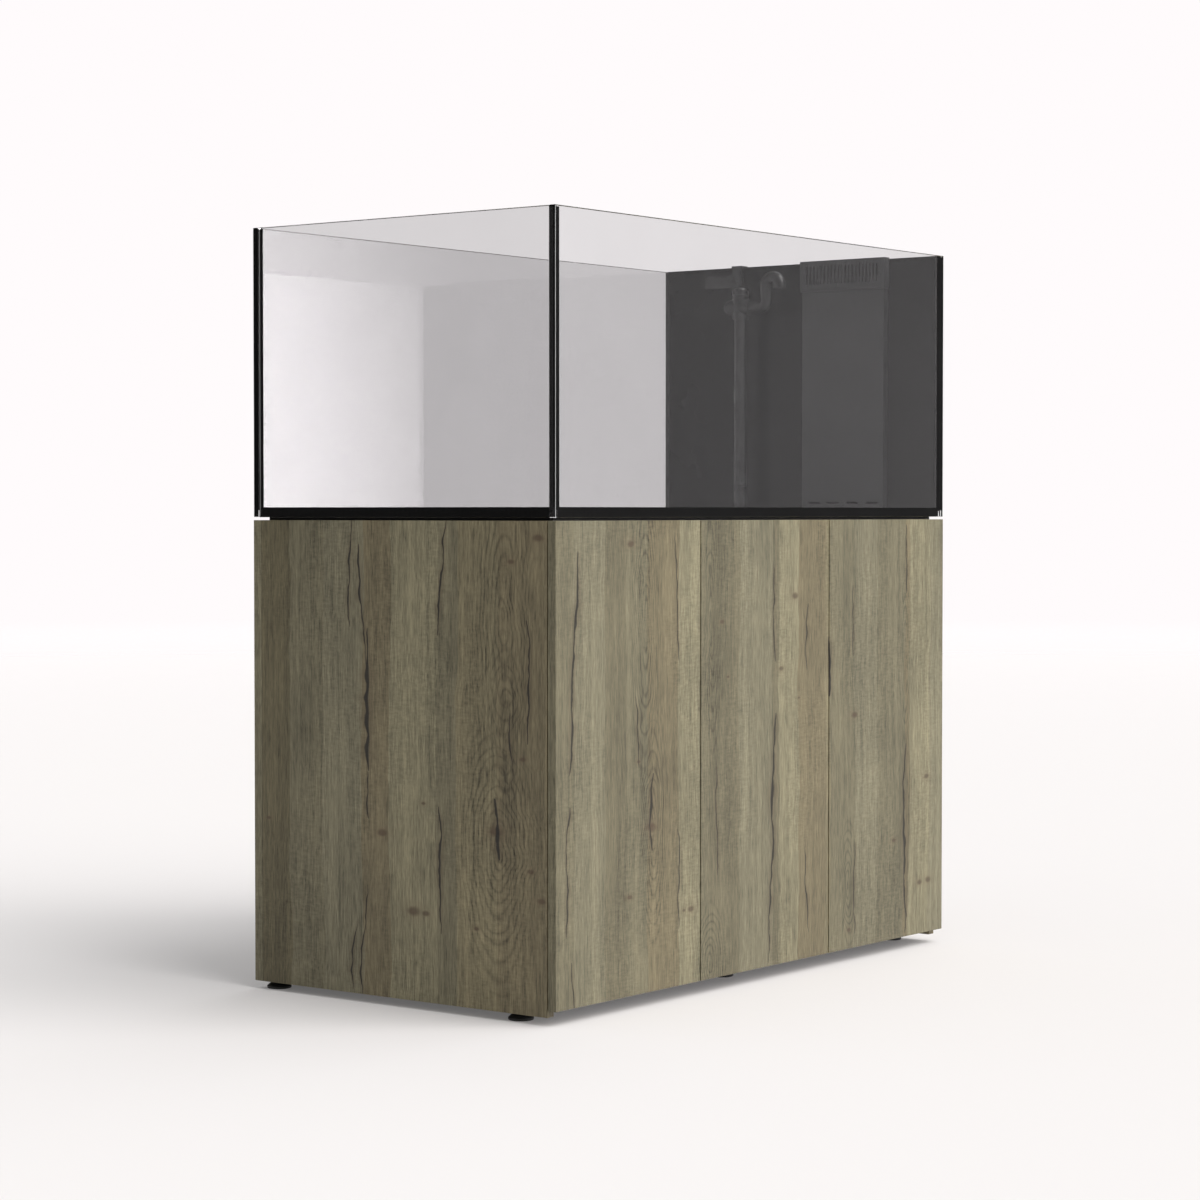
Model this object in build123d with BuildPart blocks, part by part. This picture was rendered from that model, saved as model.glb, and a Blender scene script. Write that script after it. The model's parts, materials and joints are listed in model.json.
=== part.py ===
from build123d import *
import os

os.makedirs("parts", exist_ok=True)

# Rimless aquarium with an end overflow, on a three-door cabinet. Millimetres, +Z up.
# The long front faces -Y, the overflow end faces +X, and the floor is z = 0.

# Tank
tank_length = 1200.0
tank_width = 660.0
tank_height = 496.0
glass = 12.0
glass_joint = 1.0
glass_arris = 0.8
corner_bevel = 1.6
bead = 5.0
bead_top_gap = 2.0
mat_thickness = 5.0
mat_inset = 19.0

# Cabinet
cabinet_height = 795.0
floor_gap = 14.0
board = 18.0
door_board = 16.0
door_buffer = 2.0
door_reveal = 3.0
door_lift = 11.0
board_arris = 0.6
port_clearance = 4.0

# Overflow at the end panel
weir_width = 186.0
weir_depth = 16.0
weir_wall = 3.0
weir_from_front = 124.0
intake_length = 30.0
intake_height = 4.0
intake_pitch = 44.0
intake_above_floor = 15.0
intake_count = 4
comb_height = 59.0
comb_rise = 2.0
comb_overlap = 10.0
comb_wall = 3.0
comb_slip = 0.4
slot_width = 4.0
slot_height = 36.0
slot_pitch = 8.0
slot_top_gap = 10.0
window_side_gap = 14.0
window_height = 40.0
window_below_rim = 30.0
window_corner = 8.0
box_reach = 108.0
box_length = 320.0
box_from_front = 100.0
box_height = 236.0
box_below_rim = 10.0
box_wall = 8.0
lid_thickness = 4.0
lid_lip = 10.0
lid_lip_wall = 3.0
lid_slip = 1.0
lid_grip_radius = 12.0

# Pipework
drain_outer = 32.0
drain_bore = 27.0
return_outer = 25.0
return_bore = 20.0
pipe_fit = 0.08
drain_bend = 24.0
return_bend = 20.0
socket_wall = 3.5
socket_length = 22.0
drain_thread_wall = 5.0
drain_flange_reach = 14.0
drain_nut_reach = 12.0
return_thread_wall = 3.0
return_flange_reach = 6.0
return_nut_reach = 5.0
flange_thickness = 6.0
thread_clearance = 1.0
nut_thickness = 10.0
standpipe_height = 95.0
emergency_height = 168.0
standpipe_slot = 4.0
standpipe_slot_height = 40.0
standpipe_slots = 6
drain_from_front = 170.0
emergency_from_front = 350.0
drain_turn_drop = 169.0
drain_dip = 120.0
drain_valve_drop = 95.0

# Return fittings inside the tank
riser_from_panel = 40.0
riser_from_front = 440.0
outlet_height = 413.0
riser_top = 452.0
riser_cap_round = 6.0
cross_arm = 25.0
cross_leg = 24.0
nozzle_reach = 33.0
nozzle_chamfer = 1.8
swan_offset = 62.0
swan_rise = 56.0
swan_span = 30.0
swan_tip = 21.0
swan_bend = 14.0
clip_width = 24.0
clip_from_riser = 34.0
clip_height = 43.0
clip_plate = 4.0
clip_drop = 22.0
clip_rise = 3.0
clip_slip = 0.4
clip_eye_height = 8.0
clip_eye_wall = 4.0
wing_length = 64.0
wing_height = 26.0

# Return line in the cabinet
return_run_drop = 89.0
return_valve_drop = 110.0
pump_from_sump_end = 92.0
pump_length = 120.0
pump_width = 92.0
pump_height = 96.0
pump_corner = 12.0
pump_foot = 8.0
pump_foot_radius = 5.0
pump_inlet_round = 4.0
pump_inlet_radius = 26.0
pump_inlet_length = 34.0
pump_collar = 24.0

# Valves
valve_wall = 7.0
valve_chamfer = 1.5
valve_body_length = 74.0
bonnet_radius = 16.0
bonnet_reach = 46.0
stem_radius = 5.0
stem_reach = 14.0
stem_gap = 0.4
wheel_radius = 30.0
wheel_thickness = 9.0
wheel_notch_radius = 5.0
wheel_notches = 8
wheel_boss_radius = 11.0
wheel_boss = 4.0
lever_length = 62.0
lever_width = 14.0
lever_thickness = 6.0
lever_hub_radius = 13.0

# Doors, concealed hinges and push latches
hinge_inset = 100.0
cup_radius = 17.5
cup_depth = 11.5
cup_wall = 1.2
cup_fit = 0.1
cup_past_board = 4.5
cup_flange = 1.0
cup_flange_radius = 20.0
cup_flange_height = 52.0
cup_flange_width = 14.0
plate_thickness = 4.0
plate_length = 60.0
plate_height = 46.0
plate_from_front = 22.0
arm_height = 15.0
arm_thickness = 9.0
arm_length = 72.0
nose_thickness = 8.0
nose_past_board = 2.0
nose_depth = 5.0
latch_from_edge = 40.0
latch_size = 14.0
latch_length = 62.0
latch_setback = 4.0
plunger_radius = 4.0
plunger_length = 36.0
plunger_gap = 0.3
plunger_fit = 0.1
plunger_round = 1.0

# Levelling feet
foot_from_side = 13.0
foot_from_front = 78.0
foot_from_back = 10.0
foot_radius = 21.0
foot_rim = 4.0
foot_height = 12.0
foot_chamfer = 0.8
foot_neck_radius = 12.0
screw_radius = 5.0
screw_fit = 0.05
insert_radius = 7.0
insert_flange_radius = 9.0
insert_flange = 2.0

# Sump and top-up reservoir
sump_length = 720.0
sump_width = 470.0
sump_height = 400.0
sump_glass = 8.0
sump_from_front = 90.0
sump_from_side = 22.0
drain_chamber = 62.0
cup_chamber = 112.0
return_chamber = 182.0
bubble_gap = 24.0
high_baffle = 330.0
low_baffle = 250.0
under_gap = 40.0
shelf_height = 300.0
shelf_thickness = 6.0
filter_radius = 50.0
filter_wall = 2.5
filter_depth = 170.0
filter_lip = 5.0
filter_lip_thickness = 5.0
filter_slip = 0.5
filter_slot = 4.0
filter_slot_height = 90.0
filter_slots = 10
reservoir_length = 300.0
reservoir_width = 440.0
reservoir_height = 380.0
reservoir_wall = 5.0
reservoir_from_side = 34.0
reservoir_from_front = 100.0
reservoir_corner = 14.0

# Planes that every piece is placed from
left_x = -(tank_length + box_reach) / 2
right_x = left_x + tank_length
front_y = -tank_width / 2
back_y = tank_width / 2
carcass_bottom = floor_gap + door_lift
carcass_floor = carcass_bottom + board
cabinet_top = floor_gap + cabinet_height
tank_bottom = cabinet_top + mat_thickness
tank_floor = tank_bottom + glass
rim = tank_bottom + tank_height
inner_left = left_x + board
inner_right = right_x - board
carcass_front = front_y + door_board + door_buffer
carcass_back = back_y - board
ceiling = cabinet_top - board
door_width = (tank_length - 2 * door_reveal) / 3
partition_x = left_x + door_width + door_reveal / 2
panel_face = right_x - glass


def save(piece, node):
    """Label a finished piece and write its STEP file."""
    piece.part.label = node
    export_step(piece.part, f"parts/{node}.step")


def middle(span):
    return (span[0] + span[1]) / 2


def panel(node, xs, ys, zs, arris, ports=()):
    """A flat board or pane, with round ports given as (plane, radius) cut right through."""
    reach = max(xs[1] - xs[0], ys[1] - ys[0], zs[1] - zs[0])
    with BuildPart() as piece:
        with BuildSketch(Plane.XY.offset(zs[0])):
            with Locations((middle(xs), middle(ys))):
                Rectangle(xs[1] - xs[0], ys[1] - ys[0])
        extrude(amount=zs[1] - zs[0])
        chamfer(piece.edges(), arris)
        for plane, radius in ports:
            with BuildSketch(plane):
                Circle(radius)
            extrude(amount=reach, both=True, mode=Mode.SUBTRACT)
    save(piece, node)


def open_box(node, xs, ys, zs, wall, ports=(), corner=0.0, open_side=False):
    """A box with no top, and with no wall on its low-x side when open_side is set."""
    inner_x = (xs[0] if open_side else xs[0] + wall, xs[1] - wall)
    inner_y = (ys[0] + wall, ys[1] - wall)
    with BuildPart() as piece:
        with BuildSketch(Plane.XY.offset(zs[0])):
            with Locations((middle(xs), middle(ys))):
                if corner:
                    RectangleRounded(xs[1] - xs[0], ys[1] - ys[0], corner)
                else:
                    Rectangle(xs[1] - xs[0], ys[1] - ys[0])
        extrude(amount=zs[1] - zs[0])
        with BuildSketch(Plane.XY.offset(zs[0] + wall)):
            with Locations((middle(inner_x), middle(inner_y))):
                if corner:
                    RectangleRounded(inner_x[1] - inner_x[0], inner_y[1] - inner_y[0], corner - wall)
                else:
                    Rectangle(inner_x[1] - inner_x[0], inner_y[1] - inner_y[0])
        extrude(amount=zs[1] - zs[0], mode=Mode.SUBTRACT)
        for x, y, radius in ports:
            with BuildSketch(Plane.XY.offset(zs[0])):
                with Locations((x, y)):
                    Circle(radius)
            extrude(amount=wall, mode=Mode.SUBTRACT)
    save(piece, node)


def tube(node, points, outer, bore, bend):
    """A pipe along a route of straight runs joined by tangent bends."""
    with BuildPart() as piece:
        with BuildLine() as route:
            FilletPolyline(*points, radius=bend)
        with BuildSketch(Plane(origin=route.line @ 0, z_dir=route.line % 0)):
            Circle(outer / 2)
            Circle(bore / 2, mode=Mode.SUBTRACT)
        sweep(path=route.line)
    save(piece, node)


# Tank panes: long panes full length, end panes and base between them
pane_z = (tank_bottom, rim)
tank_x = (left_x, right_x)
end_pane_y = (front_y + glass + glass_joint, back_y - glass - glass_joint)
base_x = (left_x + glass + glass_joint, right_x - glass - glass_joint)
riser_x = panel_face - riser_from_panel
riser_y = front_y + riser_from_front
return_thread = return_outer / 2 + return_thread_wall
return_nut = return_thread + return_nut_reach
return_hole = return_thread + thread_clearance

for node, pane_y in (
    ("front_pane", (front_y, front_y + glass)),
    ("rear_pane", (back_y - glass, back_y)),
):
    with BuildPart() as pane:
        with BuildSketch(Plane.XY.offset(pane_z[0])):
            with Locations((middle(tank_x), middle(pane_y))):
                Rectangle(tank_length, glass)
        extrude(amount=tank_height)
        outer_face = pane.faces().sort_by(Axis.Y)[0 if node == "front_pane" else -1]
        corners = outer_face.edges().filter_by(Axis.Z)
        chamfer(corners, corner_bevel)
        chamfer(pane.edges().filter_by(Axis.Z, reverse=True).filter_by(Axis.X), glass_arris)
    save(pane, node)

panel("left_pane", (left_x, left_x + glass), end_pane_y, pane_z, glass_arris)

base_port = (Plane((riser_x, riser_y, 0)), return_hole)
panel("base_pane", base_x, end_pane_y, (tank_bottom, tank_floor), glass_arris, [base_port])

# Opaque end panel with the overflow window behind the comb
weir_y = (front_y + weir_from_front, front_y + weir_from_front + weir_width)
window_width = weir_width - 2 * window_side_gap
with BuildPart() as end_panel:
    with BuildSketch(Plane.XY.offset(pane_z[0])):
        with Locations((right_x - glass / 2, middle(end_pane_y))):
            Rectangle(glass, end_pane_y[1] - end_pane_y[0])
    extrude(amount=tank_height)
    chamfer(end_panel.edges(), glass_arris)
    window_centre = (right_x, middle(weir_y), rim - window_below_rim - window_height / 2)
    with BuildSketch(Plane(window_centre, x_dir=(0, 1, 0), z_dir=(1, 0, 0))):
        RectangleRounded(window_width, window_height, window_corner)
    extrude(amount=-glass, mode=Mode.SUBTRACT)
save(end_panel, "end_panel")

# Silicone: a ring round the base and a bead up each inside corner
inner_x = (left_x + glass, right_x - glass)
inner_y = (front_y + glass, back_y - glass)
with BuildPart() as silicone_beads:
    with BuildSketch(Plane.XY.offset(tank_bottom)):
        with Locations((middle(inner_x), middle(inner_y))):
            Rectangle(inner_x[1] - inner_x[0], inner_y[1] - inner_y[0])
        with Locations((middle(base_x), middle(end_pane_y))):
            Rectangle(base_x[1] - base_x[0], end_pane_y[1] - end_pane_y[0], mode=Mode.SUBTRACT)
    extrude(amount=glass)
    with BuildSketch(Plane.XY.offset(tank_floor)):
        with Locations((middle(inner_x), middle(inner_y))):
            Rectangle(inner_x[1] - inner_x[0], inner_y[1] - inner_y[0])
    extrude(amount=bead)
    with BuildSketch(Plane.XY.offset(tank_floor)):
        with Locations((middle(inner_x), middle(inner_y))):
            Rectangle(inner_x[1] - inner_x[0] - 2 * bead, inner_y[1] - inner_y[0] - 2 * bead)
    extrude(amount=bead, taper=-45, mode=Mode.SUBTRACT)
    with BuildSketch(Plane.XY.offset(tank_floor)):
        for x, toward_x in ((inner_x[0], 1), (inner_x[1], -1)):
            for y, toward_y in ((inner_y[0], 1), (inner_y[1], -1)):
                joint_x = x - toward_x * glass
                joint_y = y + toward_y * glass_joint
                with BuildLine():
                    Polyline(
                        (joint_x, y),
                        (x + toward_x * bead, y),
                        (x, joint_y + toward_y * bead),
                        (x, joint_y),
                        (joint_x, joint_y),
                        close=True,
                    )
                make_face()
    extrude(amount=tank_height - glass - bead_top_gap)
save(silicone_beads, "silicone_beads")

# Levelling mat under the base
mat_port = (Plane((riser_x, riser_y, 0)), return_nut + port_clearance)
mat_x = (left_x + mat_inset, right_x - mat_inset)
mat_y = (front_y + mat_inset, back_y - mat_inset)
panel("levelling_mat", mat_x, mat_y, (cabinet_top, tank_bottom), board_arris, [mat_port])

# Slim weir cover, closed on three sides, with intake slots at its foot
weir_x = panel_face - weir_depth
comb_bottom = rim + comb_rise - comb_height
weir_bottom = tank_floor + bead
with BuildPart() as weir_cover:
    with BuildSketch(Plane.XY.offset(weir_bottom)):
        with Locations((panel_face - weir_depth / 2, middle(weir_y))):
            Rectangle(weir_depth, weir_width)
        with Locations((panel_face - (weir_depth - weir_wall) / 2, middle(weir_y))):
            Rectangle(weir_depth - weir_wall, weir_width - 2 * weir_wall, mode=Mode.SUBTRACT)
    extrude(amount=comb_bottom + comb_overlap - weir_bottom)
    intake_centre = (weir_x, middle(weir_y), tank_floor + intake_above_floor)
    with BuildSketch(Plane(intake_centre, x_dir=(0, 1, 0), z_dir=(1, 0, 0))):
        with GridLocations(intake_pitch, 1, intake_count, 1):
            SlotOverall(intake_length, intake_height)
    extrude(amount=weir_wall, mode=Mode.SUBTRACT)
save(weir_cover, "weir_cover")

# Comb: a slotted sleeve that lifts off the top of the weir cover
comb_depth = weir_depth + comb_slip + comb_wall
comb_width = weir_width + 2 * (comb_slip + comb_wall)
slot_count = int((weir_width - 2 * slot_pitch) / slot_pitch)
with BuildPart() as weir_comb:
    with BuildSketch(Plane.XY.offset(comb_bottom)):
        with Locations((panel_face - (comb_depth + comb_slip) / 2, middle(weir_y))):
            Rectangle(comb_depth - comb_slip, comb_width)
        with Locations((panel_face - (weir_depth + comb_slip) / 2, middle(weir_y))):
            Rectangle(weir_depth + comb_slip, weir_width + 2 * comb_slip, mode=Mode.SUBTRACT)
    extrude(amount=comb_height)
    slot_z = rim + comb_rise - slot_top_gap - slot_height / 2
    slot_centre = (panel_face - comb_depth, middle(weir_y), slot_z)
    with BuildSketch(Plane(slot_centre, x_dir=(0, 1, 0), z_dir=(1, 0, 0))):
        with GridLocations(slot_pitch, 1, slot_count, 1):
            SlotOverall(slot_height, slot_width, rotation=90)
    extrude(amount=comb_wall, mode=Mode.SUBTRACT)
save(weir_comb, "weir_comb")

# Overflow box bonded to the outside of the end panel, with its lift-off lid
box_x = (right_x, right_x + box_reach)
box_y = (front_y + box_from_front, front_y + box_from_front + box_length)
box_z = (rim - box_below_rim - box_height, rim - box_below_rim)
drain_x = middle(box_x)
drain_y = front_y + drain_from_front
emergency_y = front_y + emergency_from_front
drain_thread = drain_outer / 2 + drain_thread_wall
drain_hole = drain_thread + thread_clearance
box_ports = [(drain_x, y, drain_hole) for y in (drain_y, emergency_y)]
open_box("overflow_box", box_x, box_y, box_z, box_wall, box_ports, open_side=True)

lid_x = (box_x[0] + lid_slip, box_x[1])
lip_x = (box_x[0] + lid_slip, box_x[1] - box_wall - lid_slip)
lip_y = (box_y[0] + box_wall + lid_slip, box_y[1] - box_wall - lid_slip)
with BuildPart() as overflow_lid:
    with BuildSketch(Plane.XY.offset(box_z[1])):
        with Locations((middle(lid_x), middle(box_y))):
            Rectangle(lid_x[1] - lid_x[0], box_length)
    extrude(amount=lid_thickness)
    with BuildSketch(Plane.XY.offset(box_z[1])):
        with Locations((middle(lip_x), middle(lip_y))):
            Rectangle(lip_x[1] - lip_x[0], lip_y[1] - lip_y[0])
            offset(amount=-lid_lip_wall, kind=Kind.INTERSECTION, mode=Mode.SUBTRACT)
    extrude(amount=-lid_lip)
    with BuildSketch(Plane.XY.offset(box_z[1])):
        with Locations((middle(lid_x), middle(box_y))):
            Circle(lid_grip_radius)
    extrude(amount=lid_thickness, mode=Mode.SUBTRACT)
save(overflow_lid, "overflow_lid")


def bulkhead_profile(bore, thread, flange, nut, low, wall_bottom, wall_top):
    """Half section: a flange above the wall, a thread through it, and a nut below it."""
    return [
        (bore, low),
        (thread, low),
        (thread, wall_bottom - nut_thickness),
        (nut, wall_bottom - nut_thickness),
        (nut, wall_bottom),
        (thread, wall_bottom),
        (thread, wall_top),
        (flange, wall_top),
        (flange, wall_top + flange_thickness),
        (bore, wall_top + flange_thickness),
    ]


# Bulkheads: two in the floor of the overflow box, one in the tank's base
box_floor = box_z[0] + box_wall
drain_section = bulkhead_profile(
    drain_outer / 2 + pipe_fit,
    drain_thread,
    drain_thread + drain_flange_reach,
    drain_thread + drain_nut_reach,
    box_z[0] - socket_length,
    box_z[0],
    box_floor,
)
return_section = bulkhead_profile(
    return_outer / 2 + pipe_fit,
    return_thread,
    return_thread + return_flange_reach,
    return_nut,
    tank_bottom - socket_length,
    tank_bottom,
    tank_floor,
)
bulkhead_places = [
    (drain_x, drain_y, drain_section),
    (drain_x, emergency_y, drain_section),
    (riser_x, riser_y, return_section),
]
with BuildPart() as bulkheads:
    for x, y, section in bulkhead_places:
        with BuildSketch(Plane((x, y, 0), x_dir=(1, 0, 0), z_dir=(0, -1, 0))):
            with BuildLine():
                Polyline(*section, close=True)
            make_face()
        revolve(axis=Axis((x, y, 0), (0, 0, 1)))
save(bulkheads, "bulkheads")

# Standpipes stand in the bulkheads inside the overflow box
for node, y, height in (
    ("drain_standpipe", drain_y, standpipe_height),
    ("emergency_standpipe", emergency_y, emergency_height),
):
    with BuildPart() as standpipe:
        with BuildSketch(Plane((drain_x, y, box_floor))):
            Circle(drain_outer / 2)
            Circle(drain_bore / 2, mode=Mode.SUBTRACT)
        extrude(amount=height)
        with BuildSketch(Plane((drain_x, y, box_floor + height))):
            with PolarLocations(drain_outer / 2, standpipe_slots):
                Rectangle(drain_outer / 2, standpipe_slot)
        extrude(amount=-standpipe_slot_height, mode=Mode.SUBTRACT)
    save(standpipe, node)

# Sump place, which the drains end in
sump_x = (inner_right - sump_from_side - sump_length, inner_right - sump_from_side)
sump_y = (front_y + sump_from_front, front_y + sump_from_front + sump_width)
sump_z = (carcass_floor, carcass_floor + sump_height)
dip_x = sump_x[1] - sump_glass - drain_chamber / 2
dip_z = sump_z[1] - drain_dip
drain_turn = cabinet_top - drain_turn_drop
drain_valve_z = drain_turn - drain_valve_drop

# Drain lines leave the box, turn in through the side panel and dip into the sump
for node, y in (("drain_pipe", drain_y), ("emergency_pipe", emergency_y)):
    tube(
        node,
        [
            (drain_x, y, box_z[0]),
            (drain_x, y, drain_turn),
            (dip_x, y, drain_turn),
            (dip_x, y, dip_z),
        ],
        drain_outer,
        drain_bore,
        drain_bend,
    )

# Return line from the pump up through the base, and the riser above it
pump_x = sump_x[0] + sump_glass + pump_from_sump_end
return_run = cabinet_top - return_run_drop
return_valve_z = return_run - return_valve_drop
pump_top = sump_z[0] + sump_glass + pump_foot + pump_height
tube(
    "return_pipe",
    [
        (riser_x, riser_y, tank_bottom),
        (riser_x, riser_y, return_run),
        (pump_x, riser_y, return_run),
        (pump_x, riser_y, pump_top),
    ],
    return_outer,
    return_bore,
    return_bend,
)

riser_end = tank_bottom + riser_top
with BuildPart() as return_riser:
    with BuildSketch(Plane((riser_x, riser_y, tank_floor))):
        Circle(return_outer / 2)
    extrude(amount=riser_end - tank_floor)
    fillet(return_riser.faces().sort_by(Axis.Z)[-1].edges(), riser_cap_round)
    with BuildSketch(Plane((riser_x, riser_y, tank_floor))):
        Circle(return_bore / 2)
    extrude(amount=tank_bottom + outlet_height - tank_floor, mode=Mode.SUBTRACT)
save(return_riser, "return_riser")

# Cross fitting on the riser, with an arm to each side
outlet_z = tank_bottom + outlet_height
arm_outer = return_outer / 2 + socket_wall
with BuildPart() as return_cross:
    with BuildSketch(Plane((riser_x, riser_y, outlet_z - cross_leg))):
        Circle(arm_outer)
    extrude(amount=2 * cross_leg)
    with BuildSketch(Plane((riser_x, riser_y - cross_arm, outlet_z), z_dir=(0, 1, 0))):
        Circle(arm_outer)
    extrude(amount=2 * cross_arm)
    with BuildSketch(Plane((riser_x, riser_y, outlet_z - cross_leg))):
        Circle(return_outer / 2 + pipe_fit)
    extrude(amount=2 * cross_leg, mode=Mode.SUBTRACT)
    with BuildSketch(Plane((riser_x, riser_y - cross_arm, outlet_z), z_dir=(0, 1, 0))):
        Circle(return_outer / 2 + pipe_fit)
    extrude(amount=2 * cross_arm, mode=Mode.SUBTRACT)
save(return_cross, "return_cross")

# Side nozzle in the far arm
with BuildPart() as side_nozzle:
    with BuildSketch(Plane((riser_x, riser_y + arm_outer, outlet_z), z_dir=(0, 1, 0))):
        Circle(return_outer / 2)
        Circle(return_bore / 2, mode=Mode.SUBTRACT)
    extrude(amount=nozzle_reach - arm_outer)
    mouth = side_nozzle.faces().sort_by(Axis.Y)[-1].edges().sort_by(SortBy.RADIUS)[-1]
    chamfer(mouth, nozzle_chamfer)
save(side_nozzle, "side_nozzle")

# Swan neck in the near arm: out, up, and over to a downward mouth
swan_y = riser_y - swan_offset
swan_top = outlet_z + swan_rise
tube(
    "swan_neck",
    [
        (riser_x, riser_y - arm_outer, outlet_z),
        (riser_x, swan_y, outlet_z),
        (riser_x, swan_y, swan_top),
        (riser_x, swan_y - swan_span, swan_top),
        (riser_x, swan_y - swan_span, swan_top - swan_tip),
    ],
    return_outer,
    return_bore,
    swan_bend,
)

# Riser clip: a hook over the rim with a side wing, and an eye round the riser
clip_top = rim + clip_rise
clip_outer_x = right_x + clip_slip
clip_inner_x = panel_face - clip_slip
eye_z = riser_end - riser_cap_round - clip_eye_height
clip_y = riser_y + clip_from_riser
with BuildPart() as riser_clip:
    with BuildSketch(Plane.XZ.offset(-(clip_y - clip_width / 2))):
        with BuildLine():
            Polyline(
                (clip_inner_x, eye_z),
                (clip_inner_x - clip_plate, eye_z),
                (clip_inner_x - clip_plate, clip_top),
                (clip_outer_x + clip_plate, clip_top),
                (clip_outer_x + clip_plate, rim - clip_drop),
                (clip_outer_x, rim - clip_drop),
                (clip_outer_x, rim + clip_slip),
                (clip_inner_x, rim + clip_slip),
                close=True,
            )
        make_face()
    extrude(amount=-clip_width)
    with BuildSketch(Plane.XY.offset(clip_top - clip_height)):
        wing_y = clip_y + (clip_width + wing_length) / 2
        with Locations((clip_inner_x - clip_plate / 2, wing_y)):
            Rectangle(clip_plate, wing_length)
    extrude(amount=wing_height)
    with BuildSketch(Plane.XY.offset(eye_z)):
        with Locations((riser_x, riser_y)):
            Circle(return_outer / 2 + clip_eye_wall)
        with Locations((clip_inner_x - clip_plate / 2, clip_y)):
            Rectangle(clip_plate, clip_width)
        make_hull()
        with Locations((riser_x, riser_y)):
            Circle(return_outer / 2 + pipe_fit, mode=Mode.SUBTRACT)
    extrude(amount=clip_eye_height)
save(riser_clip, "riser_clip")

# Return pump on the floor of the sump's last chamber
pump_z = sump_z[0] + sump_glass + pump_foot
with BuildPart() as return_pump:
    with BuildSketch(Plane((pump_x, riser_y, pump_z))):
        Rectangle(pump_length, pump_width)
    extrude(amount=pump_height - pump_collar)
    fillet(return_pump.edges(), pump_corner)
    with BuildSketch(Plane((pump_x, riser_y, pump_z))):
        with GridLocations(pump_length - 3 * pump_corner, pump_width - 3 * pump_corner, 2, 2):
            Circle(pump_foot_radius)
    extrude(amount=-pump_foot)
    with BuildSketch(Plane((pump_x, riser_y, pump_z + pump_height - pump_collar))):
        Circle(arm_outer)
    extrude(amount=pump_collar)
    inlet = Plane((pump_x, riser_y - pump_width / 2, pump_z + pump_height / 2), z_dir=(0, -1, 0))
    with BuildSketch(inlet):
        Circle(pump_inlet_radius)
    extrude(amount=pump_inlet_length)
    fillet(return_pump.faces().sort_by(Axis.Y)[0].edges(), pump_inlet_round)
    with BuildSketch(Plane((pump_x, riser_y, pump_top))):
        Circle(return_bore / 2)
    extrude(amount=-pump_collar, mode=Mode.SUBTRACT)
save(return_pump, "return_pump")


def valve_body(node, x, y, z, outer):
    """A valve barrel round a vertical pipe, with a bonnet towards the doors."""
    low_end = Plane((x, y, z - valve_body_length / 2))
    with BuildPart() as piece:
        with BuildSketch(low_end):
            Circle(outer / 2 + valve_wall)
        extrude(amount=valve_body_length)
        for ring in (piece.edges().sort_by(Axis.Z)[0], piece.edges().sort_by(Axis.Z)[-1]):
            chamfer(ring, valve_chamfer)
        with BuildSketch(Plane((x, y, z), z_dir=(0, -1, 0))):
            Circle(bonnet_radius)
        extrude(amount=bonnet_reach)
        with BuildSketch(low_end):
            Circle(outer / 2 + pipe_fit)
        extrude(amount=valve_body_length, mode=Mode.SUBTRACT)
        with BuildSketch(Plane((x, y - bonnet_reach, z), z_dir=(0, -1, 0))):
            Circle(stem_radius + pipe_fit)
        extrude(amount=-stem_reach, mode=Mode.SUBTRACT)
    save(piece, node)


# Drain gate valve with its handwheel
wheel_face = Plane((dip_x, drain_y - bonnet_reach - stem_gap, drain_valve_z), z_dir=(0, -1, 0))
valve_body("drain_valve_body", dip_x, drain_y, drain_valve_z, drain_outer)
with BuildPart() as drain_valve_wheel:
    with BuildSketch(wheel_face):
        Circle(wheel_radius)
        with PolarLocations(wheel_radius, wheel_notches):
            Circle(wheel_notch_radius, mode=Mode.SUBTRACT)
    extrude(amount=wheel_thickness)
    with BuildSketch(wheel_face.offset(wheel_thickness)):
        Circle(wheel_boss_radius)
    extrude(amount=wheel_boss)
    with BuildSketch(wheel_face):
        Circle(stem_radius)
    extrude(amount=-(stem_reach - stem_gap))
save(drain_valve_wheel, "drain_valve_wheel")

# Return ball valve with its lever
lever_y = riser_y - bonnet_reach - stem_gap
lever_face = Plane((pump_x, lever_y, return_valve_z), x_dir=(1, 0, 0), z_dir=(0, -1, 0))
valve_body("return_valve_body", pump_x, riser_y, return_valve_z, return_outer)
with BuildPart() as return_valve_lever:
    with BuildSketch(lever_face):
        Circle(lever_hub_radius)
        with Locations((0, lever_length / 2)):
            SlotOverall(lever_length, lever_width, rotation=90)
    extrude(amount=lever_thickness)
    with BuildSketch(lever_face):
        Circle(stem_radius)
    extrude(amount=-(stem_reach - stem_gap))
save(return_valve_lever, "return_valve_lever")

# Cabinet carcass: sides to the floor gap, base and top between them, back laid over
side_z = (floor_gap, cabinet_top)
carcass_y = (carcass_front, carcass_back)
port = drain_outer / 2 + port_clearance
panel("left_side_panel", (left_x, inner_left), carcass_y, side_z, board_arris)
with BuildPart() as right_side_panel:
    with BuildSketch(Plane.XY.offset(side_z[0])):
        with Locations((right_x - board / 2, middle(carcass_y))):
            Rectangle(board, carcass_y[1] - carcass_y[0])
    extrude(amount=cabinet_height)
    chamfer(right_side_panel.edges(), board_arris)
    for y in (drain_y, emergency_y):
        with BuildSketch(Plane((right_x, y, drain_turn), z_dir=(1, 0, 0))):
            Circle(port)
        extrude(amount=-board, mode=Mode.SUBTRACT)
save(right_side_panel, "right_side_panel")

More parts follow.
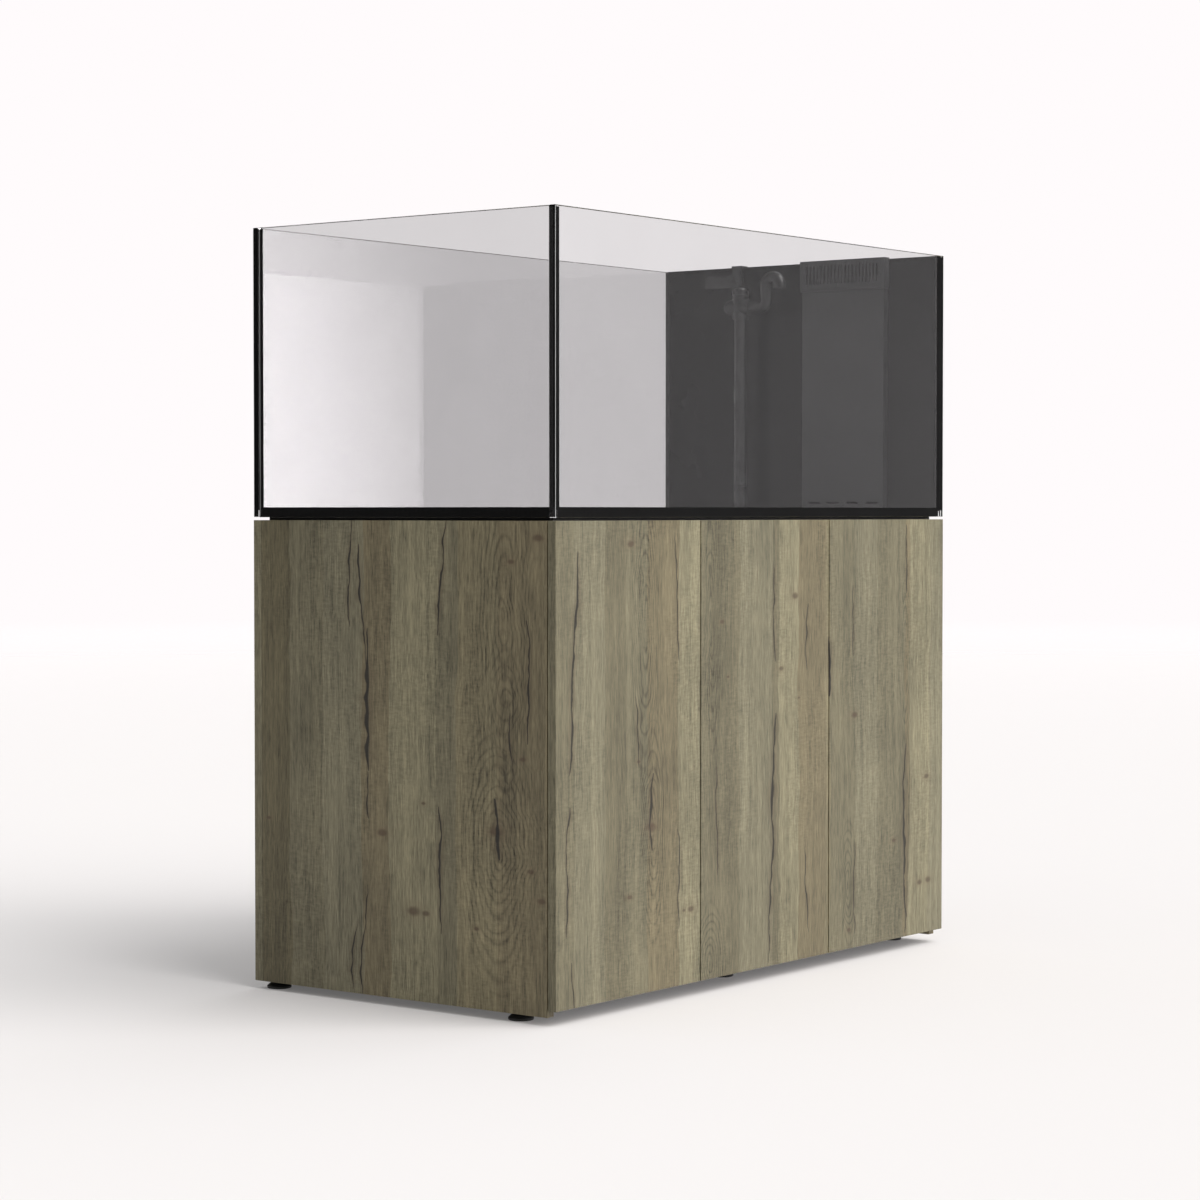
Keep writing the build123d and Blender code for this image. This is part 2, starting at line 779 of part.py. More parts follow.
inside_x = (inner_left, inner_right)
with BuildPart() as top_panel:
    with BuildSketch(Plane.XY.offset(ceiling)):
        with Locations((middle(inside_x), middle(carcass_y))):
            Rectangle(inner_right - inner_left, carcass_y[1] - carcass_y[0])
    extrude(amount=board)
    chamfer(top_panel.edges(), board_arris)
    with BuildSketch(Plane((riser_x, riser_y, ceiling))):
        Circle(return_nut + port_clearance)
    extrude(amount=board, mode=Mode.SUBTRACT)
save(top_panel, "top_panel")

# Feet and their threaded inserts stand under the base panel
foot_x = (inner_left + foot_from_side, middle(tank_x), inner_right - foot_from_side)
foot_y = (carcass_front + foot_from_front, carcass_back - foot_from_back)
foot_places = [(x, y) for y in foot_y for x in foot_x]
with BuildPart() as base_panel:
    with BuildSketch(Plane.XY.offset(carcass_bottom)):
        with Locations((middle(inside_x), middle(carcass_y))):
            Rectangle(inner_right - inner_left, carcass_y[1] - carcass_y[0])
    extrude(amount=board)
    chamfer(base_panel.edges(), board_arris)
    with BuildSketch(Plane.XY.offset(carcass_bottom)):
        with Locations(*foot_places):
            Circle(insert_radius)
    extrude(amount=board, mode=Mode.SUBTRACT)
save(base_panel, "base_panel")

with BuildPart() as foot_inserts:
    with BuildSketch(Plane.XY.offset(carcass_bottom)):
        with Locations(*foot_places):
            Circle(insert_radius)
            Circle(screw_radius + screw_fit, mode=Mode.SUBTRACT)
    extrude(amount=board)
    with BuildSketch(Plane.XY.offset(carcass_bottom)):
        with Locations(*foot_places):
            Circle(insert_flange_radius)
            Circle(screw_radius + screw_fit, mode=Mode.SUBTRACT)
    extrude(amount=-insert_flange)
save(foot_inserts, "foot_inserts")

foot_names = (
    "foot_front_left",
    "foot_front_middle",
    "foot_front_right",
    "foot_back_left",
    "foot_back_middle",
    "foot_back_right",
)
for node, (x, y) in zip(foot_names, foot_places):
    with BuildPart() as foot:
        with BuildSketch(Plane((x, y, 0), x_dir=(1, 0, 0), z_dir=(0, -1, 0))):
            with BuildLine():
                Polyline(
                    (0, 0),
                    (foot_radius, 0),
                    (foot_radius, foot_rim),
                    (foot_neck_radius, foot_height),
                    (screw_radius, foot_height),
                    (screw_radius, carcass_floor),
                    (0, carcass_floor),
                    close=True,
                )
            make_face()
        revolve(axis=Axis((x, y, 0), (0, 0, 1)))
        chamfer(foot.edges().filter_by(GeomType.CIRCLE).sort_by(Axis.Z)[0], foot_chamfer)
    save(foot, node)

partition_span = (partition_x - board / 2, partition_x + board / 2)
panel("partition", partition_span, carcass_y, (carcass_floor, ceiling), board_arris)
panel("rear_panel", tank_x, (carcass_back, back_y), side_z, board_arris)

# Doors: each hinges on its outer front edge; side +1 opens from the left, -1 from the right
door_z = (carcass_bottom, cabinet_top)
door_y = (front_y, front_y + door_board)
hinge_heights = (door_z[0] + hinge_inset, door_z[1] - hinge_inset)
doors = {
    "left": (left_x, inner_left, 1),
    "middle": (left_x + door_width + door_reveal, partition_span[1], 1),
    "right": (right_x, inner_right, -1),
}
hinge_face = door_y[1]


def cup_planes(edge_x, side):
    """Planes at the cups' mouths, looking into the door."""
    return [
        Plane((edge_x + side * (board + cup_past_board), hinge_face, z), x_dir=(1, 0, 0), z_dir=(0, -1, 0))
        for z in hinge_heights
    ]


for name, (edge_x, mount_x, side) in doors.items():
    door_x = sorted((edge_x, edge_x + side * door_width))
    with BuildPart() as door:
        with BuildSketch(Plane.XY.offset(door_z[0])):
            with Locations((middle(door_x), middle(door_y))):
                Rectangle(door_width, door_board)
        extrude(amount=door_z[1] - door_z[0])
        chamfer(door.edges(), board_arris)
        for plane in cup_planes(edge_x, side):
            with BuildSketch(plane):
                Circle(cup_radius + cup_fit)
            extrude(amount=cup_depth + cup_fit, mode=Mode.SUBTRACT)
    save(door, f"door_{name}")

    with BuildPart() as cups:
        for plane in cup_planes(edge_x, side):
            with BuildSketch(plane):
                Circle(cup_radius)
            extrude(amount=cup_depth)
            with BuildSketch(plane):
                Circle(cup_flange_radius)
                SlotOverall(cup_flange_height, cup_flange_width, rotation=90)
            extrude(amount=-cup_flange)
            with BuildSketch(plane.offset(-cup_flange)):
                Circle(cup_radius - cup_wall)
            extrude(amount=cup_flange + cup_depth - cup_wall, mode=Mode.SUBTRACT)
    save(cups, f"hinge_cups_{name}")

# Hinge arms, cranked from the panel's inner face to a nose inside the cup
with BuildPart() as hinge_arms:
    for edge_x, mount_x, side in doors.values():
        root_x = mount_x + side * plate_thickness
        nose_x = edge_x + side * (board + nose_past_board)
        for z in hinge_heights:
            with BuildSketch(Plane.XY.offset(z - arm_height / 2)):
                with BuildLine():
                    Polyline(
                        (root_x, carcass_front + arm_length),
                        (root_x + side * arm_thickness, carcass_front + arm_length),
                        (root_x + side * arm_thickness, carcass_front + arm_thickness),
                        (nose_x + side * nose_thickness, carcass_front + door_buffer),
                        (nose_x + side * nose_thickness, hinge_face - nose_depth),
                        (nose_x, hinge_face - nose_depth),
                        (nose_x, carcass_front + door_buffer),
                        (root_x, carcass_front + arm_thickness),
                        close=True,
                    )
                make_face()
            extrude(amount=arm_height)
save(hinge_arms, "hinge_arms")

with BuildPart() as hinge_plates:
    for edge_x, mount_x, side in doors.values():
        plate_y = carcass_front + plate_from_front + plate_length / 2
        for z in hinge_heights:
            with BuildSketch(Plane((mount_x, plate_y, z), x_dir=(0, 1, 0), z_dir=(side, 0, 0))):
                SlotOverall(plate_length, arm_height)
                SlotOverall(plate_height, arm_height, rotation=90)
            extrude(amount=plate_thickness)
save(hinge_plates, "hinge_plates")

# Push latches under the top panel, one at each door's free edge
latch_z = ceiling - latch_size / 2
latch_y = carcass_front + latch_setback
latch_x = {
    name: edge_x + side * (door_width - latch_from_edge)
    for name, (edge_x, mount_x, side) in doors.items()
}
with BuildPart() as latch_housings:
    for x in latch_x.values():
        mouth = Plane((x, latch_y, latch_z), x_dir=(1, 0, 0), z_dir=(0, 1, 0))
        with BuildSketch(mouth):
            Rectangle(latch_size, latch_size)
            Circle(plunger_radius + plunger_fit, mode=Mode.SUBTRACT)
        extrude(amount=latch_length)
save(latch_housings, "latch_housings")

for name, x in latch_x.items():
    tip = Plane((x, hinge_face + plunger_gap, latch_z), z_dir=(0, 1, 0))
    with BuildPart() as plunger:
        with BuildSketch(tip):
            Circle(plunger_radius)
        extrude(amount=plunger_length)
        fillet(plunger.edges().filter_by(GeomType.CIRCLE).sort_by(Axis.Y)[0], plunger_round)
    save(plunger, f"latch_plunger_{name}")

# Sump: an open glass tank, baffles, and a shelf that holds the filter cup
open_box("sump_tank", sump_x, sump_y, sump_z, sump_glass)
sump_inner_x = (sump_x[0] + sump_glass, sump_x[1] - sump_glass)
sump_inner_y = (sump_y[0] + sump_glass, sump_y[1] - sump_glass)
sump_floor = sump_z[0] + sump_glass
drain_wall = sump_inner_x[1] - drain_chamber
cup_wall_x = drain_wall - sump_glass - cup_chamber
return_wall = sump_inner_x[0] + return_chamber
baffles = {
    drain_wall: (sump_floor, sump_floor + high_baffle),
    cup_wall_x: (sump_floor, sump_floor + low_baffle),
    return_wall + sump_glass: (sump_floor, sump_floor + low_baffle),
    return_wall + 2 * sump_glass + bubble_gap: (sump_floor + under_gap, sump_floor + high_baffle),
}
with BuildPart() as sump_baffles:
    for x, (low, high) in baffles.items():
        with BuildSketch(Plane.XY.offset(low)):
            with Locations((x - sump_glass / 2, middle(sump_inner_y))):
                Rectangle(sump_glass, sump_inner_y[1] - sump_inner_y[0])
        extrude(amount=high - low)
save(sump_baffles, "sump_baffles")

shelf_z = sump_floor + shelf_height
cup_x = drain_wall - sump_glass - cup_chamber / 2
with BuildPart() as cup_shelf:
    with BuildSketch(Plane.XY.offset(shelf_z)):
        with Locations((cup_x, middle(sump_inner_y))):
            Rectangle(cup_chamber, sump_inner_y[1] - sump_inner_y[0])
            Circle(filter_radius + filter_slip, mode=Mode.SUBTRACT)
    extrude(amount=shelf_thickness)
save(cup_shelf, "cup_shelf")

cup_rest = shelf_z + shelf_thickness
with BuildPart() as filter_cup:
    with BuildSketch(Plane((cup_x, middle(sump_inner_y), cup_rest + filter_lip_thickness))):
        Circle(filter_radius)
    extrude(amount=-filter_depth)
    with BuildSketch(Plane((cup_x, middle(sump_inner_y), cup_rest))):
        Circle(filter_radius + filter_lip)
    extrude(amount=filter_lip_thickness)
    with BuildSketch(Plane((cup_x, middle(sump_inner_y), cup_rest + filter_lip_thickness))):
        Circle(filter_radius - filter_wall)
    extrude(amount=filter_wall - filter_depth, mode=Mode.SUBTRACT)
    slots_z = cup_rest - filter_depth / 2 - filter_slot_height / 2
    with BuildSketch(Plane((cup_x, middle(sump_inner_y), slots_z))):
        with PolarLocations(filter_radius, filter_slots):
            Rectangle(filter_radius / 2, filter_slot)
    extrude(amount=filter_slot_height, mode=Mode.SUBTRACT)
save(filter_cup, "filter_cup")

# Top-up reservoir in the left compartment
reservoir_x = (inner_left + reservoir_from_side, inner_left + reservoir_from_side + reservoir_length)
reservoir_y = (front_y + reservoir_from_front, front_y + reservoir_from_front + reservoir_width)
reservoir_z = (carcass_floor, carcass_floor + reservoir_height)
open_box(
    "reservoir", reservoir_x, reservoir_y, reservoir_z, reservoir_wall, corner=reservoir_corner
)
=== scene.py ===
import json
import math
import bpy
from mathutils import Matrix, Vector


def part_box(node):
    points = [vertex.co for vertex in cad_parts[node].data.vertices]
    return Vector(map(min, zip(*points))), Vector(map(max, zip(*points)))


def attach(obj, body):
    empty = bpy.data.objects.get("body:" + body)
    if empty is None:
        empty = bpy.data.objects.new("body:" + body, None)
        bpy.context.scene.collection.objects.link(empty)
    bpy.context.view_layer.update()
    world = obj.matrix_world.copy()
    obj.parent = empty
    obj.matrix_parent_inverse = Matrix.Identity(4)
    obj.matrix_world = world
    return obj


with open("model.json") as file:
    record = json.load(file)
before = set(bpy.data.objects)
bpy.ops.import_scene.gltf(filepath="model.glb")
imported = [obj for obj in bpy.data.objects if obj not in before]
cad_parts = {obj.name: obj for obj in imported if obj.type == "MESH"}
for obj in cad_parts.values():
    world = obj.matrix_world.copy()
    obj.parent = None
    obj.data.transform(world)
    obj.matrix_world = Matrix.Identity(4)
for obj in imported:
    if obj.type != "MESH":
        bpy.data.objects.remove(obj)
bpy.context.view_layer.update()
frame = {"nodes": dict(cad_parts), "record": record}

print("frame loaded:", len(frame["nodes"]), "nodes")

tankCorner = Vector(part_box("front_pane")[0])  # front left foot of the glass


def putNode(tree, kind, inputs=None, **settings):
    node = tree.nodes.new(kind)
    for key, value in settings.items():
        setattr(node, key, value)
    for socket, value in (inputs or {}).items():
        if isinstance(value, bpy.types.NodeSocket):
            tree.links.new(value, node.inputs[socket])
        else:
            node.inputs[socket].default_value = value
    return node


def doMath(tree, operation, first, second=0.0, third=0.0):
    return putNode(tree, "ShaderNodeMath", {0: first, 1: second, 2: third}, operation=operation).outputs[0]


def largest(tree, values):
    best = values[0]
    for value in values[1:]:
        best = doMath(tree, "MAXIMUM", best, value)
    return best


def smoothBetween(tree, value, low, high, start=0.0, end=1.0):
    node = putNode(tree, "ShaderNodeMapRange", {"Value": value, "From Min": low, "From Max": high,
                   "To Min": start, "To Max": end}, interpolation_type="SMOOTHSTEP")
    return node.outputs[0]


def linearBetween(tree, value, low, high, start=0.0, end=1.0):
    node = putNode(tree, "ShaderNodeMapRange", {"Value": value, "From Min": low, "From Max": high,
                   "To Min": start, "To Max": end})
    return node.outputs[0]


def mixColor(tree, amount, first, second):
    node = putNode(tree, "ShaderNodeMix", {0: amount, 6: first, 7: second}, data_type="RGBA")
    return node.outputs[2]


def scaled(tree, color, amount):
    node = putNode(tree, "ShaderNodeVectorMath", {0: color, "Scale": amount}, operation="SCALE")
    return node.outputs[0]


def objectPlace(tree):
    return tree.nodes.new("ShaderNodeTexCoord").outputs["Object"]


def noise(tree, place, scale=1.0, detail=2.0, roughness=0.5):
    node = putNode(tree, "ShaderNodeTexNoise", {"Vector": place, "Scale": scale,
                   "Detail": detail, "Roughness": roughness})
    return node.outputs[0]


def stretched(tree, place, scale):
    node = putNode(tree, "ShaderNodeVectorMath", {0: place, 1: scale}, operation="MULTIPLY")
    return node.outputs[0]


def newGroup(name, inputs, outputs):
    tree = bpy.data.node_groups.new(name, "ShaderNodeTree")
    for label, kind, value in inputs:
        socket = tree.interface.new_socket(label, in_out="INPUT", socket_type=kind)
        if value is not None:
            socket.default_value = value
    for label, kind in outputs:
        tree.interface.new_socket(label, in_out="OUTPUT", socket_type=kind)
    return tree, tree.nodes.new("NodeGroupInput").outputs, tree.nodes.new("NodeGroupOutput")


def useGroup(tree, group, inputs):
    return putNode(tree, "ShaderNodeGroup", inputs, node_tree=group).outputs


def newMaterial(name):
    material = bpy.data.materials.new(name)
    material.use_nodes = True
    tree = material.node_tree
    tree.nodes.clear()
    output = tree.nodes.new("ShaderNodeOutputMaterial")
    shader = tree.nodes.new("ShaderNodeBsdfPrincipled")
    tree.links.new(shader.outputs[0], output.inputs[0])
    return material, tree, shader


def bumpInto(tree, shader, height, distance, strength=1.0):
    bump = putNode(tree, "ShaderNodeBump",
                   {"Height": height, "Distance": distance, "Strength": strength})
    tree.links.new(bump.outputs[0], shader.inputs["Normal"])


cameraView = {
    "fromCorner": (-3.71439, -2.90627, 0.00996),  # metres from the tank's front left foot
    "azimuth": -52.815,
    "elevation": 1.708,
    "lens": 89.107,
    "sensor": 36.0,
    "farClip": 200.0,
}


def addCamera(view):
    azimuth = math.radians(view["azimuth"])
    elevation = math.radians(view["elevation"])
    back = Vector((math.sin(azimuth) * math.cos(elevation),
                   -math.cos(azimuth) * math.cos(elevation), math.sin(elevation)))
    data = bpy.data.cameras.new("camera")
    data.lens = view["lens"]
    data.sensor_width = view["sensor"]
    data.clip_end = view["farClip"]
    camera = bpy.data.objects.new("camera", data)
    camera.rotation_euler = (-back).to_track_quat("-Z", "Y").to_euler()
    camera.location = tankCorner + Vector(view["fromCorner"])
    bpy.context.scene.collection.objects.link(camera)
    bpy.context.scene.camera = camera


addCamera(cameraView)
print("camera placed")


studio = {
    "background": (1.0, 0.965, 0.973),
    "shade": (0.97, 0.985, 1.0),  # colour of the light that reaches matt surfaces from all round
    "ambient": 0.42,
    "dim": 0.09,  # what polished surfaces see of the room
    # tall white panel: where it stands and its half width in degrees, faded from core to edge
    "panel": {"azimuth": -58.0, "edge": 19.0, "core": 12.5, "glow": 12.0, "flatten": 0.45,
              "mirroredShare": 0.15},
    "key": {"azimuth": -82.0, "elevation": 44.0, "spread": 56.0, "power": 2.75,
            "color": (1.0, 0.985, 0.965)},
    "fill": {"azimuth": -10.0, "elevation": 50.0, "spread": 60.0, "power": 0.7,
             "color": (0.98, 0.99, 1.0)},
    "lampDistance": 5.0,
    "floor": (0.69, 0.67, 0.665),
    "floorSpecular": 0.0,
    "floorGlow": 0.11,  # keeps the shade under the stand pale
    "floorGlowColor": (1.0, 0.975, 0.97, 1.0),
    "floorGrain": 40.0,
    "floorRoughness": (0.7, 0.9),
    "floorRadius": 26.0,
    "floorSides": 96,
    "fadeFrom": 2.5,  # metres from the middle where the floor starts to melt into the background
    "fadeTo": 18.0,
}


def setWorld(values):
    world = bpy.data.worlds.new("studio")
    bpy.context.scene.world = world
    world.use_nodes = True
    tree = world.node_tree
    tree.nodes.clear()
    path = tree.nodes.new("ShaderNodeLightPath").outputs
    panel = values["panel"]
    turn = math.radians(panel["azimuth"])
    direction = tree.nodes.new("ShaderNodeTexCoord").outputs["Generated"]
    flat = stretched(tree, direction, (1.0, 1.0, panel["flatten"]))
    toPanel = (math.cos(turn), math.sin(turn), 0.0)
    aim = putNode(tree, "ShaderNodeVectorMath", {0: flat, 1: toPanel},
                  operation="DOT_PRODUCT").outputs["Value"]
    edge, core = (math.cos(math.radians(panel[side])) for side in ("edge", "core"))
    glow = smoothBetween(tree, aim, edge, core, 0.0, panel["glow"])
    # a refracted ray counts as glossy too, so only rays that were mirrored see the dim room
    mirrored = doMath(tree, "MULTIPLY", path["Is Glossy Ray"],
                      doMath(tree, "SUBTRACT", 1.0, path["Is Transmission Ray"]))
    level = linearBetween(tree, mirrored, 0.0, 1.0, 1.0, values["dim"])
    glowShare = linearBetween(tree, mirrored, 0.0, 1.0, 1.0, panel["mirroredShare"])
    level = doMath(tree, "MULTIPLY_ADD", glow, glowShare, level)
    unseen = doMath(tree, "SUBTRACT", 1.0, path["Is Camera Ray"])
    level = doMath(tree, "ADD", doMath(tree, "MULTIPLY", level, unseen), path["Is Camera Ray"])
    white = putNode(tree, "ShaderNodeBackground",
                    {"Color": (*values["background"], 1.0), "Strength": level})
    soft = putNode(tree, "ShaderNodeBackground",
                   {"Color": (*values["shade"], 1.0), "Strength": values["ambient"]})
    mix = putNode(tree, "ShaderNodeMixShader", {0: path["Is Diffuse Ray"], 1: white.outputs[0],
                  2: soft.outputs[0]})
    output = tree.nodes.new("ShaderNodeOutputWorld")
    tree.links.new(mix.outputs[0], output.inputs[0])


def addLamp(name, values, distance):
    data = bpy.data.lights.new(name, "SUN")
    data.angle = math.radians(values["spread"])
    data.energy = values["power"]
    data.color = values["color"]
    lamp = bpy.data.objects.new(name, data)
    azimuth, elevation = math.radians(values["azimuth"]), math.radians(values["elevation"])
    toward = Vector((math.cos(azimuth) * math.cos(elevation),
                     math.sin(azimuth) * math.cos(elevation), math.sin(elevation)))
    lamp.location = toward * distance
    lamp.rotation_euler = (-toward).to_track_quat("-Z", "Y").to_euler()
    bpy.context.scene.collection.objects.link(lamp)


def addFloor(values):
    bpy.ops.object.select_all(action="DESELECT")
    bpy.ops.mesh.primitive_circle_add(vertices=values["floorSides"], radius=values["floorRadius"],
                                      fill_type="NGON")
    floor = bpy.context.object
    floor.name = "studioFloor"
    material, tree, shader = newMaterial("studioFloor")
    place = objectPlace(tree)
    distance = putNode(tree, "ShaderNodeVectorMath", {0: place}, operation="LENGTH").outputs["Value"]
    fade = smoothBetween(tree, distance, values["fadeFrom"], values["fadeTo"], 1.0, 0.0)
    shader.inputs["Base Color"].default_value = (*values["floor"], 1.0)
    shader.inputs["Specular IOR Level"].default_value = values["floorSpecular"]
    shader.inputs["Emission Color"].default_value = values["floorGlowColor"]
    shader.inputs["Emission Strength"].default_value = values["floorGlow"]
    grain = noise(tree, place, values["floorGrain"], 3.0)
    tree.links.new(linearBetween(tree, grain, 0.0, 1.0, *values["floorRoughness"]),
                   shader.inputs["Roughness"])
    tree.links.new(fade, shader.inputs["Alpha"])
    floor.data.materials.append(material)


bpy.context.scene.view_settings.view_transform = "Standard"
setWorld(studio)
for name in ("key", "fill"):
    addLamp(name + "Lamp", studio[name], studio["lampDistance"])
addFloor(studio)
print("studio ready")


crackLook = {
    "wander": 0.022,  # metres that it drifts with the grain
    "fray": 0.012,  # metres that it jumps from side to side
    "widen": 1.9,
    "taper": 0.4,
    "swell": (0.35, 1.5),  # thinnest and thickest stretch
    "split": (0.45, 1.15),  # in half widths from its middle
    "stain": (0.5, 5.0),
    "shortest": 0.02,
}


def crackGroup():
    # one long thin split: a leaning line that wanders, tapers at both ends and stains its edges
    tree, ins, out = newGroup("oakCrack", [
        ("Across", "NodeSocketFloat", 0.0), ("Along", "NodeSocketFloat", 0.0),
        ("Wander", "NodeSocketFloat", 0.0), ("Ragged", "NodeSocketFloat", 0.0),
        ("Foot", "NodeSocketFloat", 0.0), ("Head", "NodeSocketFloat", 0.0),
        ("Low", "NodeSocketFloat", 0.0), ("High", "NodeSocketFloat", 1.0),
        ("Width", "NodeSocketFloat", 0.002)],
        [("Split", "NodeSocketFloat"), ("Stain", "NodeSocketFloat")])
    share = putNode(tree, "ShaderNodeMapRange", {"Value": ins["Along"], "From Min": ins["Low"],
                    "From Max": ins["High"]}).outputs[0]
    span = doMath(tree, "SUBTRACT", ins["Head"], ins["Foot"])
    centre = doMath(tree, "MULTIPLY_ADD", share, span, ins["Foot"])
    centre = doMath(tree, "MULTIPLY_ADD", ins["Wander"], crackLook["wander"], centre)
    jump = doMath(tree, "SUBTRACT", ins["Ragged"], 0.5)
    centre = doMath(tree, "MULTIPLY_ADD", jump, crackLook["fray"], centre)
    gap = doMath(tree, "ABSOLUTE", doMath(tree, "SUBTRACT", ins["Across"], centre))
    taper = doMath(tree, "MULTIPLY", share, doMath(tree, "SUBTRACT", 1.0, share))
    taper = doMath(tree, "POWER", doMath(tree, "MULTIPLY", taper, 4.0), crackLook["taper"])
    thick = doMath(tree, "MULTIPLY", doMath(tree, "MULTIPLY", ins["Width"], crackLook["widen"]), taper)
    swell = linearBetween(tree, ins["Ragged"], 0.3, 0.7, *crackLook["swell"])
    thick = doMath(tree, "MULTIPLY", thick, swell)
    edge = doMath(tree, "DIVIDE", gap, doMath(tree, "MAXIMUM", thick, 0.00001))
    split = smoothBetween(tree, edge, *crackLook["split"], 1.0, 0.0)
    stain = smoothBetween(tree, edge, *crackLook["stain"], 1.0, 0.0)
    inside = doMath(tree, "GREATER_THAN", taper, crackLook["shortest"])
    tree.links.new(doMath(tree, "MULTIPLY", split, inside), out.inputs["Split"])
    tree.links.new(doMath(tree, "MULTIPLY", stain, inside), out.inputs["Stain"])
    return tree


knotLook = {
    "squash": 3.2,  # how much wider than tall, squared
    "uneven": (0.6, 1.4),
    "core": (0.5, 1.6),  # in knot sizes from its middle
    "ring": (0.8, 4.0),
}


def knotGroup():
    # a small brown knot, wider than tall, with a paler ring of bent grain round it
    tree, ins, out = newGroup("oakKnot", [
        ("Across", "NodeSocketFloat", 0.0), ("Along", "NodeSocketFloat", 0.0),
        ("Ragged", "NodeSocketFloat", 0.0), ("Side", "NodeSocketFloat", 0.0),
        ("Height", "NodeSocketFloat", 0.0), ("Size", "NodeSocketFloat", 0.006)],
        [("Core", "NodeSocketFloat"), ("Ring", "NodeSocketFloat")])
    x = doMath(tree, "DIVIDE", doMath(tree, "SUBTRACT", ins["Across"], ins["Side"]), ins["Size"])
    y = doMath(tree, "DIVIDE", doMath(tree, "SUBTRACT", ins["Along"], ins["Height"]), ins["Size"])
    reach = doMath(tree, "SQRT", doMath(tree, "ADD", doMath(tree, "MULTIPLY", x, x),
                   doMath(tree, "MULTIPLY", doMath(tree, "MULTIPLY", y, y), knotLook["squash"])))
    uneven = linearBetween(tree, ins["Ragged"], 0.25, 0.75, *knotLook["uneven"])
    reach = doMath(tree, "MULTIPLY", reach, uneven)
    tree.links.new(smoothBetween(tree, reach, *knotLook["core"], 1.0, 0.0), out.inputs["Core"])
    tree.links.new(smoothBetween(tree, reach, *knotLook["ring"], 1.0, 0.0), out.inputs["Ring"])
    return tree


flameLook = {
    "drift": 0.02,  # metres that the patch leans with the grain
    "bend": 0.4,
    "fray": 0.16,
    "sharpness": 3.0,
    "fade": (0.65, 1.25),  # in patch sizes from its middle
}


def flameGroup():
    # nested arches or eyes of growth rings inside an oval patch
    tree, ins, out = newGroup("oakFlame", [
        ("Across", "NodeSocketFloat", 0.0), ("Along", "NodeSocketFloat", 0.0),
        ("Wander", "NodeSocketFloat", 0.0), ("Ragged", "NodeSocketFloat", 0.0),
        ("Side", "NodeSocketFloat", 0.0), ("Height", "NodeSocketFloat", 0.0),
        ("Half Width", "NodeSocketFloat", 0.05), ("Half Height", "NodeSocketFloat", 0.2),
        ("Rings", "NodeSocketFloat", 9.0)],
        [("Lines", "NodeSocketFloat")])
    side = doMath(tree, "MULTIPLY_ADD", ins["Wander"], flameLook["drift"], ins["Side"])
    x = doMath(tree, "DIVIDE", doMath(tree, "SUBTRACT", ins["Across"], side), ins["Half Width"])
    y = doMath(tree, "DIVIDE", doMath(tree, "SUBTRACT", ins["Along"], ins["Height"]), ins["Half Height"])
    reach = doMath(tree, "SQRT", doMath(tree, "ADD", doMath(tree, "MULTIPLY", x, x),
                   doMath(tree, "MULTIPLY", y, y)))
    bent = doMath(tree, "MULTIPLY_ADD", ins["Wander"], flameLook["bend"], reach)
    bent = doMath(tree, "MULTIPLY_ADD", ins["Ragged"], flameLook["fray"], bent)
    phase = doMath(tree, "MULTIPLY", bent, ins["Rings"])
    wave = doMath(tree, "SINE", doMath(tree, "MULTIPLY", phase, 2 * math.pi))
    lines = doMath(tree, "POWER", linearBetween(tree, wave, -1.0, 1.0), flameLook["sharpness"])
    fade = smoothBetween(tree, reach, *flameLook["fade"], 1.0, 0.0)
    lines = doMath(tree, "MULTIPLY", lines, fade)
    tree.links.new(lines, out.inputs["Lines"])
    return tree


grainLook = {
    "wander": {"waves": (1.5, 1.5, 5.0), "roughness": 0.55},
    "ragged": {"waves": (9.0, 9.0, 26.0)},
    "lean": 0.014,  # metres that the fibres bend with the wander
    # waves to the metre across and along the board, and the tone that each layer adds or takes
    "layers": {
        "fibre": {"waves": (480.0, 480.0, 34.0), "detail": 3.0, "roughness": 0.65, "tone": 0.42},
        "strand": {"waves": (230.0, 230.0, 11.0), "detail": 3.0, "roughness": 0.6, "tone": 0.22},
        "streak": {"waves": (85.0, 85.0, 1.8), "detail": 3.0, "roughness": 0.6, "tone": 0.24},
        "broad": {"waves": (16.0, 16.0, 1.1), "detail": 2.0, "roughness": 0.5, "tone": 0.12},
        "drift": {"waves": (7.0, 7.0, 4.0), "detail": 3.0, "roughness": 0.6, "tone": 0.20},
    },
    "pores": {"waves": (620.0, 620.0, 40.0), "range": (0.58, 0.72), "depth": 1.2},
    "ripple": {"waves": (66.0, 66.0, 210.0), "roughness": 0.65, "tone": 0.16, "height": 0.4},
    "ripplePatch": {"waves": (9.0, 9.0, 3.0), "range": (0.36, 0.6)},
}


